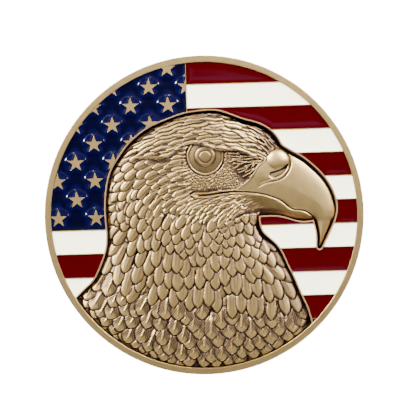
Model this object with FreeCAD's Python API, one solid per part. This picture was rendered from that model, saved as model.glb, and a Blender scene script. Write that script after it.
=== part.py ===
import FreeCAD, Part
import math
import os

# Challenge coin, lying on its reverse. Millimetres. X runs to the right along the flag's
# stripes, Y runs up the design, Z comes out of the face. The origin is the middle of the
# reverse rim's plane.

# ---- driving sizes ----
COIN_D = 44.45          # outside diameter
THICKNESS = 3.5         # rim to rim
RIM_W = 0.92            # width of the flat rim
EDGE_R = 0.12           # rounding where the faces meet the edge
BACK_DEPTH = 0.30       # how far the reverse field lies below its rim
FIELD_DEPTH = 0.75      # how far the recesses for enamel lie below the rim
LINE_DROP = 0.08        # tops of lines and stars, below the rim
ENAMEL_DROP = 0.17      # enamel, below the tops of the lines
TRENCH_DEPTH = 1.40     # floor of the sunk ground round the eagle, below the rim
RIDGE_W = 0.12          # metal line between two colours
OUTLINE_W = 0.19        # raised line round the eagle
GAP_W = 0.34            # sunk ground between that line and the relief
FOOT_GAP = 0.12         # sunk ground between the relief and the rim
STAR_R = 1.26           # star centre to point
GROOVE_DEPTH = 0.16     # depth of the grooves cut into the relief
FEATHER_W = 2.05        # spacing of the feathers along a row
FEATHER_ROW = 1.75      # spacing of the rows of feathers

# ---- sizes that follow ----
K = COIN_D / 44.45      # the drawing below is for a coin of 44.45
R_OUT = COIN_D / 2
R_IN = R_OUT - RIM_W
STRIPE = 3.31 * K
CANTON_X = -2.0 * K
CANTON_LOW = -0.5 * STRIPE
FIELD_Z = THICKNESS - FIELD_DEPTH
LINE_Z = THICKNESS - LINE_DROP
ENAMEL_Z = LINE_Z - ENAMEL_DROP
TRENCH_Z = THICKNESS - TRENCH_DEPTH
BIG = 3 * COIN_D

# ---- the eagle's outline, as smooth runs that meet at corners ----
NAPE_AND_CROWN = [
    (-18.85, -11.7), (-17.0, -9.85), (-15.7, -8.6), (-14.8, -6.95), (-14.15, -5.4),
    (-13.75, -3.9), (-13.65, -2.2), (-13.8, 0.5), (-13.75, 2.4), (-13.5, 4.4),
    (-13.0, 6.24), (-11.87, 8.2), (-10.6, 9.9), (-8.9, 11.45), (-6.85, 12.7),
    (-4.7, 13.55), (-2.4, 14.27), (-0.6, 14.52), (1.1, 14.62), (2.15, 14.55),
    (3.84, 14.03), (5.97, 13.2), (7.9, 12.6), (9.4, 11.75), (10.45, 10.67), (11.1, 9.5),
]
BEAK_TOP = [
    (11.1, 9.5), (12.3, 8.68), (13.44, 8.03), (14.6, 7.2), (15.95, 5.95), (16.95, 4.8),
    (17.76, 3.5), (18.35, 2.0), (18.55, 0.5), (18.13, -1.4), (17.29, -3.17),
    (16.5, -4.76), (16.22, -5.18), (15.92, -5.32),
]
BEAK_BACK = [(15.92, -5.32), (15.63, -5.12), (15.53, -4.5), (15.5, -2.8), (15.17, -1.25)]
JAW = [
    (15.17, -1.25), (14.2, -1.39), (12.72, -1.19), (11.2, -0.7), (10.0, -0.47),
    (8.43, -0.45), (7.72, -0.5),
]
THROAT = [
    (7.72, -0.5), (7.76, -1.4), (8.1, -2.45), (9.45, -3.83), (10.48, -5.04),
    (11.37, -7.0), (12.28, -9.0), (13.28, -11.5), (14.1, -13.4), (14.62, -15.36),
    (15.0, -16.7),
]

# ---- the eagle's features ----
EYE = (0.37, 8.1)
BROW = [
    (-9.6, 8.05), (-7.0, 7.93), (-5.4, 7.98), (-4.3, 8.45), (-3.2, 9.25), (-2.2, 9.8),
    (-1.2, 9.92), (0.9, 9.33), (2.0, 8.96), (4.6, 8.75), (6.0, 8.35), (7.4, 7.55),
]
MOUTH = [
    (-1.4, 2.9), (0.3, 2.78), (2.2, 3.0), (4.4, 3.1), (6.4, 3.0), (8.3, 2.66),
    (9.8, 2.16), (11.1, 1.42), (12.3, 0.5), (13.5, 0.3), (14.4, -0.05), (15.2, -0.75),
    (15.6, -1.6), (15.72, -3.2), (15.85, -4.4),
]
CERE = [
    (1.0, 3.4), (3.9, 3.5), (5.4, 4.15), (6.4, 4.9), (7.1, 5.75), (7.55, 6.6),
    (8.6, 7.5), (9.5, 8.5), (10.5, 8.95), (11.5, 8.6), (12.1, 7.6), (12.15, 6.5),
    (11.55, 5.3), (10.6, 4.6), (9.4, 4.4), (8.3, 4.1), (7.5, 3.5),
]
NOSTRIL = [
    (11.8, 6.7), (11.0, 5.95), (9.9, 5.62), (9.4, 5.5), (9.45, 4.95), (10.2, 4.95),
    (11.1, 5.3), (11.7, 6.0), (11.8, 6.7),
]
JOWL = [(7.6, 0.25), (9.0, 0.2), (10.4, 0.05), (12.4, -0.4), (14.8, -0.88)]

# lines between the strands of the crown
CROWN_LINES = [
    [(8.9, 10.6), (4.0, 12.3), (-2.0, 12.7), (-7.5, 10.8), (-11.3, 7.0)],
    [(8.0, 9.7), (4.0, 11.0), (-2.0, 11.4), (-7.0, 9.8), (-10.6, 6.8)],
]

# ---- the rows of feathers on the cheek, neck and chest, arcs about one point ----
FEATHER_MIDDLE = (3.0, 8.5)
FEATHER_GROOVE = 0.16   # width of the groove along a row
FEATHER_FIRST = 8.6     # radius of the first row
FEATHER_LAST = 32.2     # no row lies beyond this radius
FEATHER_FULL = 15.0     # radius at which the feathers reach their full width
FEATHER_SMALL = 0.55    # how wide they would be at the middle, against full width
FEATHER_DROOP = 0.42    # how far a tip hangs, against its width
NAPE_SIDE = (172, 186)  # where the rows begin, in degrees: on the cheek, and on the neck
THROAT_SIDE = 258       # where the first row ends, in degrees
THROAT_STEP = 5.5       # how much further round each row ends
THROAT_MOST = 34        # the most that adds up to


def at(p, z=0.0):
    """A point of the drawing, at the coin's size."""
    return FreeCAD.Vector(p[0] * K, p[1] * K, z)


def curve(points, z=0.0):
    """A smooth edge through points of the drawing."""
    spline = Part.BSplineCurve()
    spline.interpolate([at(p, z) for p in points])
    return spline


def closed_by_corners(runs, tail):
    """A closed wire from smooth runs that meet at corners, and straight lines at the end."""
    edges = [curve(run).toShape() for run in runs]
    points = [runs[-1][-1]] + tail + [runs[0][0]]
    for a, b in zip(points, points[1:]):
        edges.append(Part.makeLine(at(a), at(b)))
    return Part.Wire(edges)


def disc(radius):
    circle = Part.Circle(FreeCAD.Vector(0, 0, 0), FreeCAD.Vector(0, 0, 1), radius)
    return Part.Face(Part.Wire(circle.toShape()))


def rectangle(x0, y0, x1, y1):
    corners = [(x0, y0), (x1, y0), (x1, y1), (x0, y1), (x0, y0)]
    return Part.Face(Part.makePolygon([FreeCAD.Vector(x, y, 0) for x, y in corners]))


def prism(face, z0, z1):
    """The flat face stood up between two heights."""
    lifted = face.copy()
    lifted.translate(FreeCAD.Vector(0, 0, z0))
    return lifted.extrude(FreeCAD.Vector(0, 0, z1 - z0))


def star(x, y):
    """A five-pointed star with one point up."""
    inner = STAR_R * math.sin(math.radians(18)) / math.sin(math.radians(54))
    points = []
    for i in range(10):
        r = STAR_R if i % 2 == 0 else inner
        a = math.radians(90 + 36 * i)
        points.append(FreeCAD.Vector(x + r * math.cos(a), y + r * math.sin(a), 0))
    return Part.Face(Part.makePolygon(points + points[:1]))


def ribbon(points, width, narrowing=True):
    """A flat band that follows a smooth line, and may narrow towards both ends."""
    line = curve(points)
    steps = 5 * len(points)
    first, last = line.FirstParameter, line.LastParameter
    left, right = [], []
    for i in range(steps + 1):
        s = i / steps
        u = first + s * (last - first)
        p = line.value(u)
        t = line.tangent(u)[0]
        half = width / 2
        if narrowing:
            half *= min(1.0, 6 * s + 0.15, 6 * (1 - s) + 0.15)
        left.append(FreeCAD.Vector(p.x - t.y * half, p.y + t.x * half, 0))
        right.append(FreeCAD.Vector(p.x + t.y * half, p.y - t.x * half, 0))
    a = Part.BSplineCurve()
    a.interpolate(left)
    b = Part.BSplineCurve()
    b.interpolate(right)
    ends = [Part.makeLine(left[-1], right[-1]), Part.makeLine(right[0], left[0])]
    return Part.Face(Part.Wire([a.toShape(), ends[0], b.toShape(), ends[1]]))


# ---- flat shapes the coin is drawn from ----
RUNS = [NAPE_AND_CROWN, BEAK_TOP, BEAK_BACK, JAW, THROAT]
eagle = Part.Face(closed_by_corners(RUNS, [(17.0, -32.0), (-30.0, -32.0)]))


def along_outline(width):
    """A flat band of one width along the eagle's whole outline, round at its corners."""
    pieces = [ribbon(run, width, False) for run in RUNS]
    for run in RUNS[1:]:
        corner = disc(width / 2)
        corner.translate(at(run[0]))
        pieces.append(corner)
    return pieces


eagle_out = eagle.fuse(along_outline(OUTLINE_W)).removeSplitter()
eagle_in = eagle.cut(along_outline(OUTLINE_W)).removeSplitter()
relief_edge = eagle.cut(along_outline(OUTLINE_W + 2 * GAP_W)).removeSplitter()
field = disc(R_IN)

star_spots = []
for row in range(-1, 8):
    for column in range(0, 8):
        if (row + column) % 2 == 0:
            star_spots.append((CANTON_X - 2.61 * K * column, (17.95 - 2.565 * row) * K))
canton = rectangle(-BIG, CANTON_LOW, CANTON_X, BIG)


def band(k, x0, x1):
    """The room for stripe k, counted from the top, between the lines beside it."""
    top = (7.5 - k) * STRIPE - RIDGE_W / 2
    return rectangle(x0, top - STRIPE + RIDGE_W, x1, top)


def cell(area):
    """The pieces of a recess that an area of the flag fills, left to right."""
    shape = area.common(field).cut(eagle_out)
    faces = [f for f in shape.Faces if f.Area > 0.05]
    return sorted(faces, key=lambda f: f.CenterOfMass.x)


# ---- the metal lines and stars ----
line_faces = []
for k in range(1, 12):
    y = (6.5 - k) * STRIPE
    x0 = CANTON_X if k < 7 else -BIG
    line_faces.append(rectangle(x0, y - RIDGE_W / 2, BIG, y + RIDGE_W / 2))
line_faces.append(
    rectangle(CANTON_X - RIDGE_W / 2, CANTON_LOW, CANTON_X + RIDGE_W / 2, BIG))
root = disc(R_IN + 0.05)
line_prisms = []
for face in line_faces:
    part = face.common(root).cut(eagle_in)
    line_prisms += [prism(f, FIELD_Z - 0.05, LINE_Z) for f in part.Faces]
star_faces = []
for x, y in star_spots:
    part = star(x, y).common(root).common(canton).cut(eagle_in)
    star_faces += [f for f in part.Faces if f.Area > 0.02]
star_prisms = [prism(f, FIELD_Z - 0.05, LINE_Z) for f in star_faces]

# ---- the eagle's relief ----
rim_points = []
for run in RUNS:
    line = curve(run)
    rim_points += [line.value(line.FirstParameter + (line.LastParameter - line.FirstParameter)
                              * i / 60.0) for i in range(61)]


def bump(x, y, cx, cy, rx, ry):
    """A soft round swelling, 1 at its middle."""
    return math.exp(-((x / K - cx) / rx) ** 2 - ((y / K - cy) / ry) ** 2)


def relief_height(x, y):
    """The height of the smooth relief above the sunk ground."""
    near = min((p.x - x) ** 2 + (p.y - y) ** 2 for p in rim_points)
    rise = 1 - math.exp(-math.sqrt(near) / (2.2 * K))
    foot = max(0.0, R_IN - math.hypot(x, y))
    rise = rise * (0.62 + 0.38 * (1 - math.exp(-foot / (1.5 * K))))
    shape = 0.30 + 0.74 * rise
    shape += 0.07 * bump(x, y, -2, 11.8, 7, 2.0)
    shape += 0.10 * bump(x, y, 10.6, 7.4, 1.5, 1.5)
    shape += 0.10 * bump(x, y, 14.5, 3, 2.6, 4.5)
    shape -= 0.12 * bump(x, y, 3.5, 6.6, 3.5, 2.0)
    return shape * 0.92 * (TRENCH_DEPTH - LINE_DROP)


SPAN = 1.02 * R_OUT
COUNT = 46
grid = []
for i in range(COUNT):
    gx = -SPAN + 2 * SPAN * i / (COUNT - 1)
    column = []
    for j in range(COUNT):
        gy = -SPAN + 2 * SPAN * j / (COUNT - 1)
        column.append(FreeCAD.Vector(gx, gy, TRENCH_Z + relief_height(gx, gy)))
    grid.append(column)
top_surface = Part.BSplineSurface()
top_surface.interpolate(grid)


def under(drop):
    """Everything below the relief's top surface, moved down by drop."""
    face = top_surface.toShape()
    face.translate(FreeCAD.Vector(0, 0, -drop))
    return face.extrude(FreeCAD.Vector(0, 0, -THICKNESS))


def feather_row(radius, start, end, shift):
    """A narrow scalloped band, one round tip for each feather."""
    small = FEATHER_SMALL + (1 - FEATHER_SMALL) * min(1.0, radius / FEATHER_FULL)
    pitch = FEATHER_W * small / radius
    droop = FEATHER_DROOP * pitch * radius
    count = int((end - start) / pitch)

    def spot(place, r):
        angle = start + (place + shift) * pitch
        return at((FEATHER_MIDDLE[0] + r * math.cos(angle), FEATHER_MIDDLE[1] + r * math.sin(angle)))

    def scallops(r):
        tips = [(spot(i, r), spot(i + 0.5, r + droop), spot(i + 1, r)) for i in range(count)]
        return [Part.Arc(*tip).toShape() for tip in tips]

    low, high = radius - FEATHER_GROOVE / 2, radius + FEATHER_GROOVE / 2
    ends = [Part.makeLine(spot(i, low), spot(i, high)) for i in (0, count)]
    return Part.Face(Part.Wire(Part.__sortEdges__(scallops(high) + scallops(low) + ends)))


relief_area = relief_edge.common(disc(R_IN - FOOT_GAP))
pillar = prism(relief_area, TRENCH_Z - 0.1, THICKNESS + 1)
relief_full = pillar.common(under(0.0))
grooves = [ribbon(MOUTH, 0.30 * K), ribbon(BROW, 0.34 * K), ribbon(CERE, 0.20 * K),
           ribbon(JOWL, 0.22 * K)]
grooves += [ribbon(line, 0.22 * K) for line in CROWN_LINES]
for row in range(int((FEATHER_LAST - FEATHER_FIRST) / FEATHER_ROW) + 1):
    radius = FEATHER_FIRST + row * FEATHER_ROW
    start = math.radians(NAPE_SIDE[0] if radius < FEATHER_FULL + 0.5 else NAPE_SIDE[1])
    end = math.radians(THROAT_SIDE + min(THROAT_MOST, THROAT_STEP * row))
    grooves.append(feather_row(radius, start, end, 0.5 * (row % 2)))
ring_sizes = [(0.78, 0.90), (1.34, 1.46), (2.32, 2.42), (2.60, 2.70)]
for r0, r1 in ring_sizes:
    ring = disc(r1 * K).cut(disc(r0 * K))
    ring.translate(at(EYE))
    grooves.append(ring.Faces[0])
nostril = Part.Face(Part.Wire([curve(NOSTRIL[:3]).toShape(),
                               Part.makeLine(at(NOSTRIL[2]), at(NOSTRIL[3])),
                               Part.makeLine(at(NOSTRIL[3]), at(NOSTRIL[4])),
                               curve(NOSTRIL[4:]).toShape()]))
cut_tool = [prism(f, TRENCH_Z, THICKNESS + 1) for f in grooves]
relief_cut = relief_full.cut(cut_tool)
relief_low = pillar.common(under(GROOVE_DEPTH))
relief = relief_cut.fuse(relief_low)
relief = relief.cut(prism(nostril, THICKNESS - 0.75, THICKNESS + 1))

# ---- the struck body ----
back_r = R_IN - 0.15
profile = [
    (0, BACK_DEPTH), (back_r - 0.2, BACK_DEPTH), (back_r, 0), (R_OUT - EDGE_R, 0),
]
c = math.cos(math.radians(45)) * EDGE_R
low = [(R_OUT - EDGE_R, 0), (R_OUT - EDGE_R + c, EDGE_R - c), (R_OUT, EDGE_R)]
high = [
    (R_OUT, THICKNESS - EDGE_R), (R_OUT - EDGE_R + c, THICKNESS - EDGE_R + c),
    (R_OUT - EDGE_R, THICKNESS),
]
inside = [(R_OUT - EDGE_R, THICKNESS), (R_IN, THICKNESS), (R_IN, FIELD_Z), (0, FIELD_Z),
          (0, BACK_DEPTH)]


def side(p):
    return FreeCAD.Vector(p[0], 0, p[1])


edges = [Part.makeLine(side(a), side(b)) for a, b in zip(profile, profile[1:])]
edges.append(Part.Arc(*[side(p) for p in low]).toShape())
edges.append(Part.makeLine(side(low[-1]), side(high[0])))
edges.append(Part.Arc(*[side(p) for p in high]).toShape())
edges += [Part.makeLine(side(a), side(b)) for a, b in zip(inside, inside[1:])]
blank = Part.Face(Part.Wire(edges)).revolve(
    FreeCAD.Vector(0, 0, 0), FreeCAD.Vector(0, 0, 1), 360)
sunk = eagle_in.common(field)
blank = blank.cut(prism(sunk, TRENCH_Z, THICKNESS))
outline_ring = eagle_out.cut(eagle_in).common(root)
outline_prisms = [prism(f, TRENCH_Z - 0.05, LINE_Z) for f in outline_ring.Faces]
body = blank.fuse(outline_prisms + line_prisms + star_prisms)
body = body.fuse(relief)
body = body.removeSplitter()

# ---- the enamel ----
right = CANTON_X + RIDGE_W / 2
nodes = {"coin_body": body}


def pour(name, faces):
    """One colour's hardened enamel in its own recess."""
    solids = []
    for f in faces:
        solids += prism(f, FIELD_Z, ENAMEL_Z).Solids
    nodes[name] = solids[0] if len(solids) == 1 else Part.makeCompound(solids)


blue_area = rectangle(-BIG, CANTON_LOW + RIDGE_W / 2, CANTON_X - RIDGE_W / 2, BIG)
blue = blue_area.common(field).cut(eagle_out).cut(star_faces)
pour("enamel_blue_canton", [f for f in blue.Faces if f.Area > 0.05])
for k, colour in ((1, "red"), (2, "white"), (3, "red"), (4, "white"), (5, "red"), (6, "white")):
    pour("enamel_%s_%d" % (colour, k), cell(band(k, right, BIG)))
jaw_cell, right_cell = cell(band(7, right, BIG))
pour("enamel_red_7_jaw", [jaw_cell])
pour("enamel_red_7_right", [right_cell])
left_cell, throat_cell, right_cell = cell(band(8, -BIG, BIG))
pour("enamel_white_8_left", [left_cell])
pour("enamel_white_8_throat", [throat_cell])
pour("enamel_white_8_right", [right_cell])
left_cell, right_cell = cell(band(9, -BIG, BIG))
pour("enamel_red_9_left", [left_cell])
pour("enamel_red_9_right", [right_cell])
left_cell, right_cell = cell(band(10, -BIG, BIG))
pour("enamel_white_10_left", [left_cell])
pour("enamel_white_10_right", [right_cell])
pour("enamel_red_11", cell(band(11, 0, BIG)))

os.makedirs("parts", exist_ok=True)
for name, shape in nodes.items():
    shape.exportStep("parts/%s.step" % name)
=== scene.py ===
import bpy
import bmesh
import math
import numpy as np
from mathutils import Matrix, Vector


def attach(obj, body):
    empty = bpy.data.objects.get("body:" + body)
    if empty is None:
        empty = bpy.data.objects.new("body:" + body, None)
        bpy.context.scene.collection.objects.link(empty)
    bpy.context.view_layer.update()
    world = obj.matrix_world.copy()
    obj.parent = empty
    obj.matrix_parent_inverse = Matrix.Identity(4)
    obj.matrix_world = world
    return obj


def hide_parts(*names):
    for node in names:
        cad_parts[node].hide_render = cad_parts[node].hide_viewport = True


# A challenge coin lying on its back: a struck metal body with an eagle's head in relief, and a
# flag in enamel behind it. Lengths in this script are millimetres and become metres in make_piece.

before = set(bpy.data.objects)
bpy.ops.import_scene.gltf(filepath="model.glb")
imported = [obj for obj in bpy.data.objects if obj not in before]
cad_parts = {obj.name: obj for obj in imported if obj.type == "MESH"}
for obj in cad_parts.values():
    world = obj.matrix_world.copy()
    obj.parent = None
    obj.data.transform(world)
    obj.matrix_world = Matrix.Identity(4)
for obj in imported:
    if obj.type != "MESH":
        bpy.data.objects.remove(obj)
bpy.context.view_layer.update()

# ---------------- the coin's sizes, millimetres ----------------
R_OUT = 22.225
RIM_W = 0.92
R_IN = R_OUT - RIM_W
THICKNESS = 3.5
TRENCH_Z = 2.10
LINE_Z = 3.42
OUTLINE_W = 0.19
RELIEF_FOOT = 2.0
FOOT_Z = 2.06
MM = 0.001

NAPE_AND_CROWN = [
    (-18.85, -11.7), (-17.0, -9.85), (-15.7, -8.6), (-14.8, -6.95), (-14.15, -5.4),
    (-13.75, -3.9), (-13.65, -2.2), (-13.8, 0.5), (-13.75, 2.4), (-13.5, 4.4),
    (-13.0, 6.24), (-11.87, 8.2), (-10.6, 9.9), (-8.9, 11.45), (-6.85, 12.7),
    (-4.7, 13.55), (-2.4, 14.27), (-0.6, 14.52), (1.1, 14.62), (2.15, 14.55),
    (3.84, 14.03), (5.97, 13.2), (7.9, 12.6), (9.4, 11.75), (10.45, 10.67), (11.1, 9.5),
]
BEAK_TOP = [
    (11.1, 9.5), (12.3, 8.68), (13.44, 8.03), (14.6, 7.2), (15.95, 5.95), (16.95, 4.8),
    (17.76, 3.5), (18.35, 2.0), (18.55, 0.5), (18.13, -1.4), (17.29, -3.17),
    (16.5, -4.76), (16.22, -5.18), (15.92, -5.32),
]
BEAK_BACK = [(15.92, -5.32), (15.63, -5.12), (15.53, -4.5), (15.5, -2.8), (15.17, -1.25)]
JAW = [
    (15.17, -1.25), (14.2, -1.39), (12.72, -1.19), (11.2, -0.7), (10.0, -0.47),
    (8.43, -0.45), (7.72, -0.5),
]
THROAT = [
    (7.72, -0.5), (7.76, -1.4), (8.1, -2.45), (9.45, -3.83), (10.48, -5.04),
    (11.37, -7.0), (12.28, -9.0), (13.28, -11.5), (14.1, -13.4), (14.62, -15.36),
    (15.0, -16.7),
]
RUNS = [NAPE_AND_CROWN, BEAK_TOP, BEAK_BACK, JAW, THROAT]


def smooth_line(points, spacing=0.2):
    """Points of a smooth line (a natural cubic through the given points) at about this spacing."""
    p = np.array(points, float)
    n = len(p)
    if n == 2:
        count = max(2, int(np.hypot(*(p[1] - p[0])) / spacing) + 1)
        s = np.linspace(0, 1, count)[:, None]
        return p[0] * (1 - s) + p[1] * s
    h = np.hypot(*(p[1:] - p[:-1]).T)
    t = np.concatenate([[0], np.cumsum(h)])
    a = np.zeros((n, n))
    b = np.zeros((n, 2))
    a[0, 0] = a[-1, -1] = 1
    for i in range(1, n - 1):
        a[i, i - 1] = h[i - 1]
        a[i, i] = 2 * (h[i - 1] + h[i])
        a[i, i + 1] = h[i]
        b[i] = 6 * ((p[i + 1] - p[i]) / h[i] - (p[i] - p[i - 1]) / h[i - 1])
    m = np.linalg.solve(a, b)
    count = max(2, int(t[-1] / spacing) + 1)
    s = np.linspace(0, t[-1], count)
    k = np.clip(np.searchsorted(t, s, side="right") - 1, 0, n - 2)
    d = (s - t[k])[:, None]
    hk = h[k][:, None]
    slope = (p[k + 1] - p[k]) / hk - hk * (2 * m[k] + m[k + 1]) / 6
    return p[k] + slope * d + m[k] / 2 * d**2 + (m[k + 1] - m[k]) / (6 * hk) * d**3


def line_distance(x, y, line):
    """Distance to a polyline, and how far along it the nearest point lies (0 to 1)."""
    best = np.full(x.shape, 1e9)
    where = np.zeros(x.shape)
    seg = line[1:] - line[:-1]
    length = np.hypot(*seg.T)
    start = np.concatenate([[0], np.cumsum(length)])
    for i in range(len(seg)):
        ax, ay = line[i]
        sx, sy = seg[i]
        t = np.clip(((x - ax) * sx + (y - ay) * sy) / (length[i] ** 2 + 1e-12), 0, 1)
        d = (x - ax - t * sx) ** 2 + (y - ay - t * sy) ** 2
        near = d < best
        best = np.where(near, d, best)
        where = np.where(near, (start[i] + t * length[i]) / start[-1], where)
    return np.sqrt(best), where


def inside(x, y, polygon):
    """True where a point lies in a closed polygon."""
    found = np.zeros(x.shape, bool)
    px, py = polygon.T
    qx, qy = np.roll(px, -1), np.roll(py, -1)
    for i in range(len(px)):
        if py[i] == qy[i]:
            continue
        crosses = (py[i] > y) != (qy[i] > y)
        found ^= crosses & (x < (qx[i] - px[i]) * (y - py[i]) / (qy[i] - py[i]) + px[i])
    return found


def smoothstep(t):
    t = np.clip(t, 0, 1)
    return t * t * (3 - 2 * t)


def bell(t):
    return np.exp(-(t**2))


def blur(a, radius_cells):
    """A soft blur: three box blurs each way."""
    r = max(1, int(round(radius_cells * 0.6)))
    for axis in (0, 1):
        for _ in range(3):
            pad = [(0, 0), (0, 0)]
            pad[axis] = (r + 1, r)
            c = np.cumsum(np.pad(a, pad, mode="edge"), axis=axis)
            n = a.shape[axis]
            lo = np.take(c, range(0, n), axis=axis)
            hi = np.take(c, range(2 * r + 1, 2 * r + 1 + n), axis=axis)
            a = (hi - lo) / (2 * r + 1)
    return a


def between(grid, u, v):
    """A grid's value between its points, at column u and row v counted with fractions."""
    i = np.clip(u.astype(int), 0, grid.shape[1] - 2)
    j = np.clip(v.astype(int), 0, grid.shape[0] - 2)
    fu, fv = u - i, v - j
    low = grid[j, i] * (1 - fu) + grid[j, i + 1] * fu
    high = grid[j + 1, i] * (1 - fu) + grid[j + 1, i + 1] * fu
    return low * (1 - fv) + high * fv


def upsample(coarse, cx, cy, x, y):
    """A coarse grid with even axes cx and cy, read at every column x and row y of a finer one."""
    u = (x - cx[0]) / (cx[1] - cx[0])
    v = (y - cy[0]) / (cy[1] - cy[0])
    return between(coarse, u[None, :], v[:, None])


# ---------------- which way the feathers lie ----------------
# where, and the way their tips point
FLOW = [
    (5.5, 7.2, -1.0, 0.0), (6.2, 7.9, -0.96, 0.22), (5.5, 6.3, -0.87, -0.5), (6.8, 5.9, -0.6, -0.8),
    (8.6, 10.0, -0.62, 0.78), (7.0, 11.0, -0.8, 0.55), (4.5, 12.0, -0.93, 0.35), (8.8, 8.4, -0.7, 0.7),
    (7.5, 8.3, -0.85, 0.52), (5.0, 9.8, -0.96, 0.26), (2.0, 10.6, -0.98, 0.12),
    (0.5, 12.8, -1.0, 0.05), (-4.0, 12.0, -0.97, -0.22), (-7.5, 11.0, -0.93, -0.36),
    (-9.8, 9.6, -0.88, -0.46), (-6.5, 8.9, -0.99, -0.1), (-3.0, 10.4, -0.97, -0.2),
    (-11.4, 7.4, -0.83, -0.55), (-9.0, 7.0, -0.93, -0.36), (-5.0, 7.0, -0.98, -0.15),
    (-12.3, 4.7, -0.76, -0.65), (-9.5, 4.5, -0.84, -0.54), (-5.5, 4.6, -0.96, -0.27),
    (-2.5, 4.3, -0.98, -0.1), (-12.8, 1.8, -0.62, -0.78), (-10.5, 1.5, -0.5, -0.86),
    (-7.5, 1.5, -0.72, -0.69), (-4.5, 1.6, -0.9, -0.42), (-1.0, 1.4, -0.95, -0.3),
    (2.5, 1.5, -0.97, -0.22), (5.5, 0.9, -0.97, -0.2), (3.2, 0.0, -0.8, -0.6), (1.0, -0.4, -0.78, -0.62),
    (-2.0, -0.7, -0.72, -0.7), (-12.6, -1.5, -0.62, -0.78), (-11.6, -0.2, -0.3, -0.95),
    (-8.0, -1.0, -0.4, -0.92), (-5.0, -1.4, -0.45, -0.9), (-1.5, -2.6, -0.33, -0.94),
    (-13.0, -4.0, -0.68, -0.73), (-12.0, -5.5, -0.47, -0.88), (-9.0, -5.0, -0.3, -0.95),
    (-6.0, -5.5, -0.12, -0.99), (-2.0, -5.5, -0.05, -1.0), (1.5, -3.0, 0.02, -1.0),
    (5.9, -1.2, 0.2, -0.98), (7.0, -3.2, 0.5, -0.86), (4.5, -4.0, 0.15, -0.99),
    (8.4, -4.8, 0.4, -0.92), (7.0, -7.5, 0.24, -0.97), (9.8, -7.0, 0.5, -0.87),
    (2.0, -8.0, 0.02, -1.0), (-4.0, -9.5, -0.08, -1.0), (-9.2, -8.6, -0.35, -0.94),
    (-11.8, -9.0, -0.2, -0.98), (-14.3, -7.4, -0.42, -0.91), (-15.0, -9.6, -0.5, -0.87),
    (-13.4, -11.5, -0.48, -0.88), (-15.4, -12.6, -0.5, -0.86), (-10.4, -11.6, -0.6, -0.8),
    (-8.9, -13.0, -0.4, -0.92), (-7.0, -12.4, -0.22, -0.98), (-11.4, -15.0, -0.45, -0.89),
    (-8.5, -17.0, -0.36, -0.93), (-4.5, -13.0, -0.1, -0.99), (-5.0, -17.6, -0.18, -0.98),
    (0.0, -15.0, 0.0, -1.0), (3.5, -17.5, 0.0, -1.0), (6.0, -12.0, 0.0, -1.0),
    (8.9, -13.4, -0.08, -1.0), (10.6, -8.6, 0.72, -0.7), (11.7, -11.0, 0.42, -0.91),
    (12.6, -13.0, 0.24, -0.97), (10.8, -15.5, 0.14, -0.99), (7.5, -17.5, 0.04, -1.0),
]


def flow(x, y):
    """The unit direction feathers point in at a place."""
    sx = sy = 0.0
    for fx, fy, dx, dy in FLOW:
        w = 1 / ((x - fx) ** 2 + (y - fy) ** 2 + 0.3) ** 1.6
        sx += w * dx
        sy += w * dy
    n = math.hypot(sx, sy)
    return sx / n, sy / n


def flow_order():
    """A smooth field that grows the way the feathers point, so the last ones can be laid first."""
    count = 44
    axis = np.linspace(-22, 22, count)
    cell = axis[1] - axis[0]
    way = np.array([[flow(a, b) for a in axis] for b in axis])
    across = (way[:, 1:, 0] + way[:, :-1, 0]) / 2 * cell
    along = (way[1:, :, 1] + way[:-1, :, 1]) / 2 * cell
    rank = np.zeros((count, count))
    near = np.zeros((count, count))
    near[:, 1:] += 1
    near[:, :-1] += 1
    near[1:, :] += 1
    near[:-1, :] += 1
    for _ in range(2500):
        total = np.zeros((count, count))
        total[:, 1:] += rank[:, :-1] + across
        total[:, :-1] += rank[:, 1:] - across
        total[1:, :] += rank[:-1, :] + along
        total[:-1, :] += rank[1:, :] - along
        rank = total / near
    return axis, rank


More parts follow.
